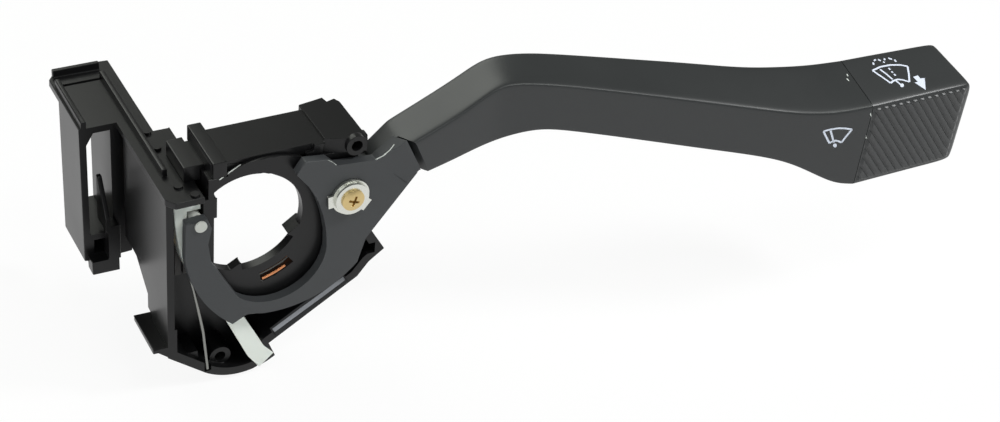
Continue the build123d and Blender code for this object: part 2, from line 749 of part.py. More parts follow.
def washer_leaf():
    """Leaf behind the plunger, standing on the back of the floor."""
    y = floor_back + plunger_out + plunger_travel + 0.3
    low = plunger_z - 5.8
    high = plunger_z + 1.8
    points = [(floor_back, low + leaf_t), (floor_back, low), (y + leaf_t, low)]
    points += [(y + leaf_t, high), (y, high), (y, low + leaf_t)]
    return side(points, plunger_x - switch_leaf_w / 2, plunger_x + switch_leaf_w / 2)


def washer_contact():
    """Fixed contact behind the leaf."""
    y = floor_back + plunger_out + plunger_travel + 0.3 + leaf_t + 0.6
    high = plunger_z + 2.7
    points = [(floor_back, high), (y, high), (y, plunger_z - 2.2), (y + leaf_t, plunger_z - 2.2)]
    points += [(y + leaf_t, high + leaf_t), (floor_back, high + leaf_t)]
    return side(points, plunger_x - switch_leaf_w / 2, plunger_x + switch_leaf_w / 2)


def rear_cover():
    """Cap over the washer contact, on the back of the floor."""
    x0 = pivot_x + 2.0
    x1 = right_edge - 0.3
    y1 = floor_back + rear_cover_h
    z0 = plunger_z - 7.1
    z1 = plunger_z + 4.8
    t = rear_cover_t
    shell = block(x0, x1, floor_back, y1, z0, z1)
    return shell - block(x0 + t, x1 - t, floor_back - 1, y1 - t, z0 + t, z1 - t)


nodes = {
    "base_housing": base_housing,
    "connector_holder": connector_holder,
    "contact_cover": contact_cover,
    "cover_strap": cover_strap,
    "rear_cover": rear_cover,
    "ground_contact": ground_contact,
    "guide_strap": guide_strap,
    "detent_wire": detent_wire,
    "washer_leaf": washer_leaf,
    "washer_contact": washer_contact,
    "washer_plunger": washer_plunger,
    "pivot_screw": pivot_screw,
    "pivot_washer": pivot_washer,
    "clip_washer": clip_washer,
    "pivot_bush": pivot_bush,
    "carrier_plate": carrier_plate,
    "carrier_pin": carrier_pin,
    "contact_slider": contact_slider,
    "lever_body": lever_body,
    "lever_end_cap": lever_end_cap,
    "lever_pivot_pin": lever_pivot_pin,
    "lever_return_spring": return_spring,
}

for name, make in nodes.items():
    export_step(make(), f"parts/{name}.step")
for index in range(3):
    export_step(fixed_contact(index), f"parts/fixed_contact_{index + 1}.step")
    export_step(bridge_contact(index), f"parts/bridge_contact_{index + 1}.step")
for index in range(6):
    export_step(terminal_blade(index), f"parts/terminal_blade_{index + 1}.step")
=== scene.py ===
"""Surfaces, small detail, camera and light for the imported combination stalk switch.

Metres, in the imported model's frame: X towards the lever's tip, Y away from the driver, Z up.
"""

import json
import math

import bmesh
import bpy
from bpy.props import FloatProperty, FloatVectorProperty, PointerProperty
from mathutils import Matrix, Vector
from mathutils.bvhtree import BVHTree

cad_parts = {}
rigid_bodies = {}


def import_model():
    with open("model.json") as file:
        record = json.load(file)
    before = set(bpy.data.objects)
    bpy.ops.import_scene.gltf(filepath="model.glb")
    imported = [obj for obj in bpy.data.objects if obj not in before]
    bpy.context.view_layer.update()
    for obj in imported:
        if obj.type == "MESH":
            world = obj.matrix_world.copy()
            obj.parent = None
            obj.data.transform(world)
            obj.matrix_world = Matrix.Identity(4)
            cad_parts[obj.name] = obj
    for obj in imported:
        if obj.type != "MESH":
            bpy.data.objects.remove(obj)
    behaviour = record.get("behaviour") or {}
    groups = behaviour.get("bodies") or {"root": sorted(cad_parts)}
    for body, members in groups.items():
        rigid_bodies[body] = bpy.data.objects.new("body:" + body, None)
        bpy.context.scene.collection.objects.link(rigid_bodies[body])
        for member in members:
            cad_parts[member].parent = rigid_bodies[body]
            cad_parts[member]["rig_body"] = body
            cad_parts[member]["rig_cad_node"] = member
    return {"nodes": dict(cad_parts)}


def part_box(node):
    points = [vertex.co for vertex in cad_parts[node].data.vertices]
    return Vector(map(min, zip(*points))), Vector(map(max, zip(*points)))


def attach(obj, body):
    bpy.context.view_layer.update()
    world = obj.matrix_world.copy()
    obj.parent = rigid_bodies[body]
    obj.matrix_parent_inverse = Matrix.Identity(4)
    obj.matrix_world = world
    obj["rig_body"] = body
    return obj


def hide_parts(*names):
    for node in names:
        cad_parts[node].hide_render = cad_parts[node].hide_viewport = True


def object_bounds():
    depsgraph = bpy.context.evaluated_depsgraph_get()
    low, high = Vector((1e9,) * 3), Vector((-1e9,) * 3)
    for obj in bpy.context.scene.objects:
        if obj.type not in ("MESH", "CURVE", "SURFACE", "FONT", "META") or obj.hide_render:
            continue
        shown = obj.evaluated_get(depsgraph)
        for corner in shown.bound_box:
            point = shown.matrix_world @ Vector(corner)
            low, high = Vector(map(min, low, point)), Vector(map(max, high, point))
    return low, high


bl_info = {
    "name": "Combination stalk switch",
    "version": (1, 0, 0),
    "blender": (4, 5, 0),
    "location": "View3D > Sidebar > Stalk switch",
    "description": "Lever, paddle, mouldings, pivot hardware, signs and studio of a stalk switch",
    "category": "Object",
}

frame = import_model()
cad_nodes = frame["nodes"]
cad_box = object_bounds()

MM = 0.001

# Camera of the photograph: place in mm, rows right and up, and focal length for a 36 mm sensor
CAMERA_PLACE = Vector((-136.335, -320.467, 271.290))
CAMERA_RIGHT = Vector((0.8757, -0.4729, 0.0980))
CAMERA_UP = Vector((0.2170, 0.5666, 0.7949))
LENS_MM = 66.28
SENSOR_MM = 36.0
PHOTO_WIDTH = 1000
PHOTO_HEIGHT = 422


def linear(hex_colour):
    """Turns an sRGB hex value into linear red, green and blue."""
    values = [int(hex_colour[i:i + 2], 16) / 255 for i in (1, 3, 5)]
    return tuple(v / 12.92 if v <= 0.04045 else ((v + 0.055) / 1.055) ** 2.4 for v in values)


class StalkColours(bpy.types.PropertyGroup):
    """Colours of the finishes."""

    housing: FloatVectorProperty(
        name="Housing", description="Gloss ABS of the base, holder and cover", subtype="COLOR",
        default=linear("#0f0f10"))
    lever: FloatVectorProperty(
        name="Lever", description="Grained ABS of the lever and paddle", subtype="COLOR",
        default=linear("#27292a"))
    plate: FloatVectorProperty(
        name="Plate", description="Matt PBT of the carrier plate", subtype="COLOR",
        default=linear("#343638"))
    nylon: FloatVectorProperty(
        name="Nylon", description="Natural nylon of the slider and strap", subtype="COLOR",
        default=linear("#dfe4de"))
    signs: FloatVectorProperty(
        name="Signs", description="Printed wiper and washer signs", subtype="COLOR",
        default=linear("#d2d8e6"))


class StalkSizes(bpy.types.PropertyGroup):
    """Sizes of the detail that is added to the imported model."""

    mould_edge: FloatProperty(
        name="Mould edge", description="Rounding of the mouldings' edges", default=0.3 * MM,
        unit="LENGTH")
    lever_edge: FloatProperty(
        name="Lever edge", description="Rounding of the lever's long edges", default=1.1 * MM,
        unit="LENGTH")
    paddle_edge: FloatProperty(
        name="Paddle edge", description="Rounding of the paddle's upper front edge", default=4.6 * MM,
        unit="LENGTH")
    rib_pitch: FloatProperty(
        name="Rib pitch", description="Distance along the paddle from rib to rib", default=2.35 * MM,
        unit="LENGTH")
    rib_height: FloatProperty(
        name="Rib height", description="How far the paddle's ribs stand out", default=0.48 * MM,
        unit="LENGTH")
    rib_lean: FloatProperty(
        name="Rib lean", description="Slope of the paddle's ribs", default=math.radians(51.0),
        unit="ROTATION")
    sign_line: FloatProperty(
        name="Sign line", description="Width of the printed lines", default=0.5 * MM, unit="LENGTH")


# Mesh helpers

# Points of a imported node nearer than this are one, and faces flatter than this are one
MERGE_GAP = 0.04 * MM
FLAT_ANGLE = math.radians(0.6)
# Edges sharper than this are rounded, and a moulding's shallower ones look smooth
EDGE_ANGLE = math.radians(30.0)
MOULD_SMOOTH = 32.0


def clear_selection():
    """Leaves edit mode and deselects everything."""
    if bpy.context.object and bpy.context.object.mode != "OBJECT":
        bpy.ops.object.mode_set(mode="OBJECT")
    bpy.ops.object.select_all(action="DESELECT")


def make_active(piece):
    """Selects this piece alone."""
    clear_selection()
    piece.select_set(True)
    bpy.context.view_layer.objects.active = piece


def settle(piece, name, body, finish):
    """Puts the piece's place into its mesh and ties it to its body and finish."""
    make_active(piece)
    bpy.ops.object.transform_apply(location=True, rotation=True, scale=True)
    piece.name = name
    piece.data.name = name
    piece.data.materials.clear()
    piece.data.materials.append(finishes[finish])
    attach(piece, body)


def apply_modifier(piece, kind, **settings):
    """Adds a modifier, sets it and applies it."""
    make_active(piece)
    modifier = piece.modifiers.new(kind.title(), kind)
    for key, value in settings.items():
        setattr(modifier, key, value)
    bpy.ops.object.modifier_apply(modifier=modifier.name)


def smooth(piece, degrees):
    """Smooths shallow edges, and keeps wide flat faces flat beside rounded ones."""
    make_active(piece)
    bpy.ops.object.shade_smooth_by_angle(angle=math.radians(degrees))
    apply_modifier(piece, "WEIGHTED_NORMAL", keep_sharp=True)


def face_outwards(piece):
    """Turns every face outwards."""
    make_active(piece)
    bpy.ops.object.mode_set(mode="EDIT")
    bpy.ops.mesh.select_all(action="SELECT")
    bpy.ops.mesh.normals_make_consistent(inside=False)
    bpy.ops.object.mode_set(mode="OBJECT")


def copy_of_node(node):
    """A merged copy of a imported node, free of the frame, with flat faces joined up."""
    piece = cad_nodes[node].copy()
    piece.data = piece.data.copy()
    bpy.context.scene.collection.objects.link(piece)
    piece.parent = None
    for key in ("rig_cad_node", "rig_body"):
        if key in piece:
            del piece[key]
    piece.hide_render = False
    make_active(piece)
    bpy.ops.mesh.customdata_custom_splitnormals_clear()
    bpy.ops.object.mode_set(mode="EDIT")
    bpy.ops.mesh.select_all(action="SELECT")
    bpy.ops.mesh.remove_doubles(threshold=MERGE_GAP)
    bpy.ops.mesh.dissolve_limited(angle_limit=FLAT_ANGLE)
    bpy.ops.object.mode_set(mode="OBJECT")
    return piece


def cut(piece, cutter, operation="DIFFERENCE"):
    """Cuts a piece with another mesh, which is then removed."""
    apply_modifier(piece, "BOOLEAN", operation=operation, object=cutter, solver="EXACT")
    bpy.data.objects.remove(cutter)


def finish_moulding(node, width, body, finish, cutter=None):
    """Shows a node with rounded edges and its own finish, after an optional cut."""
    piece = copy_of_node(node)
    if cutter is not None:
        faces = len(piece.data.polygons)
        cut(piece, cutter)
        if len(piece.data.polygons) < faces:
            raise RuntimeError(f"the cut in {node} lost faces")
    apply_modifier(piece, "BEVEL", width=width, segments=2, limit_method="ANGLE",
                   angle_limit=EDGE_ANGLE, use_clamp_overlap=False, offset_type="ABSOLUTE")
    smooth(piece, MOULD_SMOOTH)
    settle(piece, node + "_finished", body, finish)
    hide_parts(node)


def start_cube(size, place, turn=None):
    """A cube stretched to a size in mm, about a place in mm, turned by a matrix."""
    clear_selection()
    bpy.ops.mesh.primitive_cube_add(size=1.0)
    piece = bpy.context.object
    piece.data.transform(Matrix.Diagonal(Vector(size).to_4d()))
    if turn is not None:
        piece.data.transform(turn.to_4x4())
    piece.data.transform(Matrix.Translation(Vector(place)))
    piece.data.transform(Matrix.Scale(MM, 4))
    return piece


def start_cylinder(radius, length, place, sides):
    """A cylinder along Y in mm, about a place in mm."""
    clear_selection()
    bpy.ops.mesh.primitive_cylinder_add(vertices=sides, radius=radius, depth=length)
    piece = bpy.context.object
    piece.data.transform(Matrix.Rotation(math.radians(90.0), 4, "X"))
    piece.data.transform(Matrix.Translation(Vector(place)))
    piece.data.transform(Matrix.Scale(MM, 4))
    return piece


# Finishes

finishes = {}

# Sockets of a Mix node that share their names with others
COLOUR_A = 6
COLOUR_B = 7
MIXED_COLOUR = 2
# Length over which the plastic's gloss drifts, as the flow in the mould leaves it, in mm
FLOW_MM = 25
# Roughness of the glossiest and dullest places, as shares of the finish's own
PLASTIC_GLOSS = (0.85, 1.2)
METAL_GLOSS = (0.7, 1.4)
# Brightness of a metal's darkest lines
METAL_LINE = 0.86
# How far red, green and blue light go into the plastic
LIGHT_DEPTH = (1.2 * MM, 1.4 * MM, 1.6 * MM)


def add_node(tree, kind, settings=None, **links):
    """Adds a node, sets its attributes and sockets, and links the given outputs to its sockets."""
    node = tree.nodes.new(kind)
    for key, value in (settings or {}).items():
        if isinstance(key, str) and hasattr(node, key):
            setattr(node, key, value)
        else:
            node.inputs[key].default_value = value
    for key, source in links.items():
        tree.links.new(source, node.inputs[key.replace("_", " ")])
    return node


def new_finish(name):
    """Starts an empty material and returns its node tree."""
    material = bpy.data.materials.new(name)
    material.use_nodes = True
    material.node_tree.nodes.clear()
    finishes[name] = material
    return material.node_tree


def moulded_plastic(name, colour, roughness, grain_mm, grain_depth_mm, mottle=0.1, specular=0.5,
                    inside=0.0):
    """Injection-moulded plastic: grain of the mould, and a slow drift of gloss and tone."""
    tree = new_finish(name)
    place = add_node(tree, "ShaderNodeTexCoord").outputs["Object"]
    drift = add_node(tree, "ShaderNodeTexNoise", {"Scale": 1 / (FLOW_MM * MM), "Detail": 3.0},
                     Vector=place)
    grain = add_node(tree, "ShaderNodeTexNoise", {"Scale": 1 / (grain_mm * MM), "Detail": 2.0},
                     Vector=place)
    dark = tuple(c * (1 - mottle) for c in colour) + (1.0,)
    pale = tuple(min(1.0, c * (1 + mottle)) for c in colour) + (1.0,)
    tint = add_node(tree, "ShaderNodeMix", {"data_type": "RGBA", COLOUR_A: dark, COLOUR_B: pale},
                    Factor=drift.outputs["Fac"])
    gloss = [roughness * share for share in PLASTIC_GLOSS]
    rough = add_node(tree, "ShaderNodeMapRange", {"To Min": gloss[0], "To Max": gloss[1]},
                     Value=drift.outputs["Fac"])
    bump = add_node(tree, "ShaderNodeBump", {"Strength": 0.35, "Distance": grain_depth_mm * MM},
                    Height=grain.outputs["Fac"])
    shader = add_node(tree, "ShaderNodeBsdfPrincipled", {"IOR": 1.5, "Specular IOR Level": specular},
                      Base_Color=tint.outputs[MIXED_COLOUR], Roughness=rough.outputs[0],
                      Normal=bump.outputs[0])
    if inside:
        shader.inputs["Subsurface Weight"].default_value = inside
        shader.inputs["Subsurface Radius"].default_value = LIGHT_DEPTH
    add_node(tree, "ShaderNodeOutputMaterial", Surface=shader.outputs[0])


def worked_metal(name, colour, roughness, streak_mm, streak_depth_mm=0.004, stretch=(1.0, 1.0, 1.0)):
    """Metal with the faint lines of its making and an uneven polish."""
    tree = new_finish(name)
    place = add_node(tree, "ShaderNodeTexCoord").outputs["Object"]
    along = add_node(tree, "ShaderNodeMapping", {"Scale": stretch}, Vector=place)
    lines = add_node(tree, "ShaderNodeTexNoise", {"Scale": 1 / (streak_mm * MM), "Detail": 3.0},
                     Vector=along.outputs[0])
    gloss = [roughness * share for share in METAL_GLOSS]
    rough = add_node(tree, "ShaderNodeMapRange", {"To Min": gloss[0], "To Max": gloss[1]},
                     Value=lines.outputs["Fac"])
    bump = add_node(tree, "ShaderNodeBump", {"Strength": 0.3, "Distance": streak_depth_mm * MM},
                    Height=lines.outputs["Fac"])
    dark = tuple(c * METAL_LINE for c in colour) + (1.0,)
    pale = tuple(colour) + (1.0,)
    tint = add_node(tree, "ShaderNodeMix", {"data_type": "RGBA", COLOUR_A: dark, COLOUR_B: pale},
                    Factor=lines.outputs["Fac"])
    shader = add_node(tree, "ShaderNodeBsdfPrincipled", {"Metallic": 1.0},
                      Base_Color=tint.outputs[MIXED_COLOUR], Roughness=rough.outputs[0],
                      Normal=bump.outputs[0])
    add_node(tree, "ShaderNodeOutputMaterial", Surface=shader.outputs[0])


def make_finishes():
    """Every finish of the switch: most are named for the real material and how it was made, two are pale
    greys for painted highlights and glints.
    """
    colours = bpy.context.scene.stalk_colours
    # ABS from a polished mould: near-black with soft, broad reflections
    moulded_plastic("polished_abs", colours.housing, roughness=0.3, grain_mm=0.7,
                    grain_depth_mm=0.012, specular=0.3)
    # ABS from a spark-eroded mould: its fine grain spreads the light
    moulded_plastic("grained_abs", colours.lever, roughness=0.36, grain_mm=0.5, grain_depth_mm=0.022)
    # Glass-filled PBT is dull and slightly uneven
    moulded_plastic("filled_pbt", colours.plate, roughness=0.52, grain_mm=0.6,
                    grain_depth_mm=0.025, specular=0.45)
    # Natural nylon lets a little light into itself
    moulded_plastic("natural_nylon", colours.nylon, roughness=0.38, grain_mm=0.8,
                    grain_depth_mm=0.012, mottle=0.05, specular=0.45, inside=0.2)
    # Grey acetal of the pin, turned and smooth
    moulded_plastic("turned_acetal", linear("#b4b6b1"), roughness=0.4, grain_mm=0.4,
                    grain_depth_mm=0.01, mottle=0.04, specular=0.45, inside=0.1)
    # Zinc-plated steel is bright and a little cloudy
    worked_metal("zinc_plated_steel", linear("#dedfd8"), roughness=0.26, streak_mm=0.9,
                 streak_depth_mm=0.002)
    # Yellow chromate over zinc
    worked_metal("yellow_chromated_steel", linear("#d9c18a"), roughness=0.36, streak_mm=0.8)
    # Drawn spring wire, with lines along its length
    worked_metal("drawn_wire", linear("#8f908c"), roughness=0.3, streak_mm=0.4,
                 streak_depth_mm=0.003, stretch=(1.0, 1.0, 0.1))
    # Stamped contact metals keep the lines of the rolling
    worked_metal("rolled_brass", linear("#c9a45c"), roughness=0.3, streak_mm=0.5,
                 streak_depth_mm=0.003, stretch=(1.0, 0.2, 1.0))
    worked_metal("rolled_copper", linear("#e39a6c"), roughness=0.34, streak_mm=0.5,
                 streak_depth_mm=0.003, stretch=(0.2, 1.0, 1.0))
    # Fixed contacts coloured near-black brown, much darker than bare brass
    moulded_plastic("near_black_brass", linear("#1c1812"), roughness=0.34, grain_mm=0.9,
                    grain_depth_mm=0.02, mottle=0.35)
    # Pale grey painted along the rim's slope: a painted highlight where the slope catches the light
    moulded_plastic("rim_highlight_grey", linear("#8c8e94"), roughness=0.4, grain_mm=0.5,
                    grain_depth_mm=0.01, mottle=0.2)
    # Pale grey for painted glints on edges and gaps, and on the lever's chipped seam edges
    moulded_plastic("glint_and_chip_grey", linear("#c4c8c4"), roughness=0.6, grain_mm=0.3,
                    grain_depth_mm=0.01, mottle=0.2, specular=0.3)
    # Pad-printed ink, slightly raised and dull
    moulded_plastic("printed_ink", colours.signs, roughness=0.6, grain_mm=0.3,
                    grain_depth_mm=0.006, mottle=0.05, specular=0.3)


# Lever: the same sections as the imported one, in mm

LEVER_FRONT = -2.0
KNEE_X = 64.4
LEVER_TURN = math.radians(20.0)
LEVER_END_X = 154.3
PADDLE_X = 154.5
PADDLE_LENGTH = 32.6
# The paddle's straight part, before its end rounds off
PADDLE_BODY = 29.6
# Depths of the plate's back and of the neck behind it
PLATE_BACK = 2.5
NECK_FRONT = 2.9
# Hinge of the pull with its lean, pivot of the swing and the room round the pivot's boss
HINGE = Vector((36.0, 6.4, 8.2))
HINGE_LEAN = math.radians(25.0)
PIVOT = Vector((25.0, 0.0, 3.7))
BOSS_ROOM = 5.9
# Places and width of the groove between wedge and lever
GROOVE_TOP = Vector((40.8, LEVER_FRONT, 16.4))
GROOVE_LOW = Vector((43.9, LEVER_FRONT, 9.6))
GROOVE_BACK = Vector((39.0, LEVER_FRONT + 4.0, 16.0))
GROOVE = 1.25
# Room for the plate when the lever is pulled
PULL_TURN = math.radians(6.0)
PULL_GAP = 0.3
# Tongue over the washer plunger, room for the plate's lug, and pocket of the return spring
TONGUE_SIZE = (8.7, 7.1, 7.0)
TONGUE_PLACE = (34.55, 6.45, 5.9)
LUG_ROOM = (7.0, 30.0, 4.6)
LUG_DROP = 0.6
POCKET_RADIUS = 2.4
POCKET_DEPTH = 5.8
POCKET_PLACE = (41.4, PLATE_BACK + 2.5, 9.2)
# Cutters reach this far past the arm, and stand about this height
FAR = 60.0
CUTTER_HEIGHT = 10.0
# The lever's top bends at this place, with a firm corner
NECK_BEND_X = 38.9
BEND_CREASE = 0.75
# The arm's crease is rounded this many times wider than its other edges
CREASE_WIDTH = 2.4
# Share of the back's rise that its lower edge has
LOW_RISE = 0.6
# Subdivisions of the swept pieces, and the angle below which they look smooth
SWEEP_LEVELS = 3
SWEEP_SMOOTH = 34.0
# Two places along X nearer than this are the same loop
SAME_LOOP = 0.01 * MM

# Place along X, crease and bottom of the front face, depth, and rise of the back edges
LEVER_SECTIONS = (
    (32.2, 11.4, 1.6, 12.0, -1.2),
    (NECK_BEND_X, 16.0, 5.2, 12.0, 0.4),
    (51.0, 20.8, 8.1, 12.0, 1.2),
    (58.0, 25.1, 10.4, 12.0, 0.4),
    (63.4, 28.0, 11.6, 12.0, 0.6),
    (68.0, 28.4, 13.2, 12.0, 1.7),
    (74.0, 28.1, 14.8, 12.0, 2.6),
    (81.0, 27.5, 14.2, 12.0, 3.0),
    (101.0, 24.7, 10.8, 12.8, 3.8),
    (115.0, 22.6, 8.3, 13.6, 4.4),
    (128.0, 20.6, 6.2, 14.4, 4.6),
    (137.0, 19.3, 3.9, 15.4, 5.4),
    (145.0, 19.4, -0.6, 16.0, 5.4),
    (150.0, 20.5, -3.0, 16.1, 5.0),
    (LEVER_END_X, 21.6, -3.1, 16.2, 4.6),
)
PADDLE_SECTIONS = (
    (PADDLE_X, 21.6, -3.1, 16.2, 4.6),
    (PADDLE_X + 10.0, 21.5, -3.1, 16.2, 4.3),
    (PADDLE_X + 20.0, 21.4, -3.1, 16.2, 3.9),
    (PADDLE_X + PADDLE_BODY, 21.3, -3.2, 16.2, 3.6),
)


def front_y(x):
    """Depth of the lever's front face, which turns towards the driver at the knee."""
    return LEVER_FRONT - max(0.0, min(x, LEVER_END_X) - KNEE_X) * math.tan(LEVER_TURN)


def section_points(x, crease, bottom, depth, rise, edge, crease_edge):
    """Twelve points of a section in metres, three at each corner, from the front's lower one."""
    # The crease is rounded mostly on the side of the top face
    reaches_before = (edge, edge, 2 * edge, crease_edge)
    reaches_after = (edge, edge, 2 * edge, edge)
    y = front_y(x)
    corners = [Vector((x, y, bottom)), Vector((x, y + depth, bottom + LOW_RISE * rise)),
               Vector((x, y + depth, crease + rise)), Vector((x, y, crease))]
    points = []
    for index, corner in enumerate(corners):
        before = (corners[index - 1] - corner).normalized() * reaches_before[index]
        after = (corners[(index + 1) % 4] - corner).normalized() * reaches_after[index]
        points += [corner + before, corner, corner + after]
    return [p * MM for p in points]


def crease_loops(mesh, places, weight):
    """Creases the loops that stand at the given places along X."""
    bpy.ops.mesh.select_all(action="DESELECT")
    for edge in mesh.edges:
        if any(all(abs(v.co.x - place) < SAME_LOOP for v in edge.verts) for place in places):
            edge.select = True
    bpy.ops.transform.edge_crease(value=weight)


def swept_piece(name, sections, bends=()):
    """A many-sided disc, extruded from section to section, with firmer loops at its bends."""
    clear_selection()
    sides = len(sections[0])
    bpy.ops.mesh.primitive_circle_add(vertices=sides, radius=5 * MM, fill_type="NGON")
    piece = bpy.context.object
    piece.name = name
    bpy.ops.object.mode_set(mode="EDIT")
    mesh = bmesh.from_edit_mesh(piece.data)
    ring = list(mesh.faces[:][0].verts)
    for vert, place in zip(ring, sections[0]):
        vert.co = place
    bmesh.update_edit_mesh(piece.data)
    for previous, points in zip(sections, sections[1:]):
        step = sum((b - a for a, b in zip(previous, points)), Vector()) / len(points)
        bpy.ops.mesh.extrude_region_move(TRANSFORM_OT_translate={"value": step})
        mesh = bmesh.from_edit_mesh(piece.data)
        for vert in [v for v in mesh.verts if v.select]:
            index = min(range(sides), key=lambda i: (previous[i] + step - vert.co).length)
            vert.co = points[index]
        bmesh.update_edit_mesh(piece.data)
    # The loops at both ends stay where they are when the piece is subdivided
    crease_loops(bmesh.from_edit_mesh(piece.data), (sections[0][0].x, sections[-1][0].x), 1.0)
    if bends:
        crease_loops(bmesh.from_edit_mesh(piece.data), [bend * MM for bend in bends], BEND_CREASE)
    bpy.ops.mesh.select_all(action="SELECT")
    bpy.ops.mesh.normals_make_consistent(inside=False)
    bpy.ops.object.mode_set(mode="OBJECT")
    return piece


def groove_turn():
    """Turn of the groove's plane, with Z to the lever's side, and its normal."""
    normal = (GROOVE_LOW - GROOVE_TOP).cross(GROOVE_BACK - GROOVE_TOP).normalized()
    if normal.x < 0:
        normal = -normal
    side = normal.cross(Vector((0, 0, 1))).normalized()
    return Matrix((side, normal.cross(side), normal)).transposed(), normal


def wedge_space(shift, width, back):
    """A cutter that fills the wedge's side of the groove, in front of the given depth."""
    turn, normal = groove_turn()
    space = start_cube((2 * FAR, 2 * FAR, FAR), GROOVE_TOP + normal * (shift - FAR / 2), turn)
    cut(space, start_cube((width, FAR, 2 * FAR), (FAR / 2, back - FAR / 2, CUTTER_HEIGHT)), "INTERSECT")
    return space


class STALK_OT_lever_arm(bpy.types.Operator):
    """Cranked arm of the lever with its neck behind the plate"""

    bl_idname = "stalk.lever_arm"
    bl_label = "Lever arm"

    def execute(self, context):
        edge = context.scene.stalk_sizes.lever_edge / MM
        sections = [section_points(*s, edge, CREASE_WIDTH * edge) for s in LEVER_SECTIONS]
        arm = swept_piece("lever_arm", sections, (NECK_BEND_X,))
        apply_modifier(arm, "SUBSURF", levels=SWEEP_LEVELS, render_levels=SWEEP_LEVELS)
        # In front of the plate's back the arm starts at the groove
        cut(arm, wedge_space(0.0, 2 * FAR, NECK_FRONT))
        cut(arm, start_cube(TONGUE_SIZE, TONGUE_PLACE), "UNION")
        cut(arm, start_cylinder(BOSS_ROOM, 2 * FAR, PIVOT, sides=64))
        # The plate's room, turned about the hinge as the pulled lever meets it
        plate_room = wedge_space(PULL_GAP - GROOVE, FAR, PLATE_BACK + PULL_GAP)
        axis = Vector((math.sin(HINGE_LEAN), 0.0, -math.cos(HINGE_LEAN)))
        to_hinge = Matrix.Translation(HINGE * MM)
        pulled = to_hinge @ Matrix.Rotation(-PULL_TURN, 4, axis) @ to_hinge.inverted()
        plate_room.data.transform(pulled)
        cut(arm, plate_room)
        lean = Matrix.Rotation(-HINGE_LEAN, 3, "Y")
        cut(arm, start_cube(LUG_ROOM, HINGE + lean @ Vector((0, 0, -LUG_DROP)), lean))
        # Wide enough for the spring's coil when the lever is pulled
        cut(arm, start_cylinder(POCKET_RADIUS, POCKET_DEPTH, POCKET_PLACE, sides=32))
        face_outwards(arm)
        smooth(arm, SWEEP_SMOOTH)
        settle(arm, "lever_arm", "lever", "grained_abs")
        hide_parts("lever_body")
        return {"FINISHED"}


# Paddle

# The paddle's end stands out further at its front than at its back, in mm
END_FRONT = 0.6
END_BACK = -0.9
# Loops of the domed end: how far past the last section and how far in
END_LOOPS = ((2.3, 0.3), (PADDLE_LENGTH - PADDLE_BODY, 0.9))
# An inset of this much would close the end's depth
END_CLOSED = 10
# The ribbed field on the front face, in mm, and how its left, right, lower and upper borders fade
RIBS_LEFT = PADDLE_X + 0.4
RIBS_RIGHT = PADDLE_X + PADDLE_LENGTH + END_FRONT - 1.8
RIBS_LOW = -2.2
RIBS_TOP_LEFT = 20.8
RIBS_TOP_RIGHT = 20.4
RIBS_FADE = (0.6, 1.2, 0.7, 0.5)
# Shares of the pitch over which a rib rises and falls again
RIB_SIDES = (0.45, 0.2)
# Faces of the ribbed skin along and across, its thickness, how deep its border lies in the paddle,
# how far its grooves stand over the border, and the angle below which it looks smooth
SKIN_FACES = (190, 136)
SKIN_THICKNESS = 0.3
SKIN_SUNK = 0.06
SKIN_STAND = 0.09
SKIN_SMOOTH = 60.0


def fade(distance, reach):
    """Rises from 0 at an edge to 1 at the given reach, with soft ends."""
    share = max(0.0, min(1.0, distance / reach))
    return share * share * (3 - 2 * share)


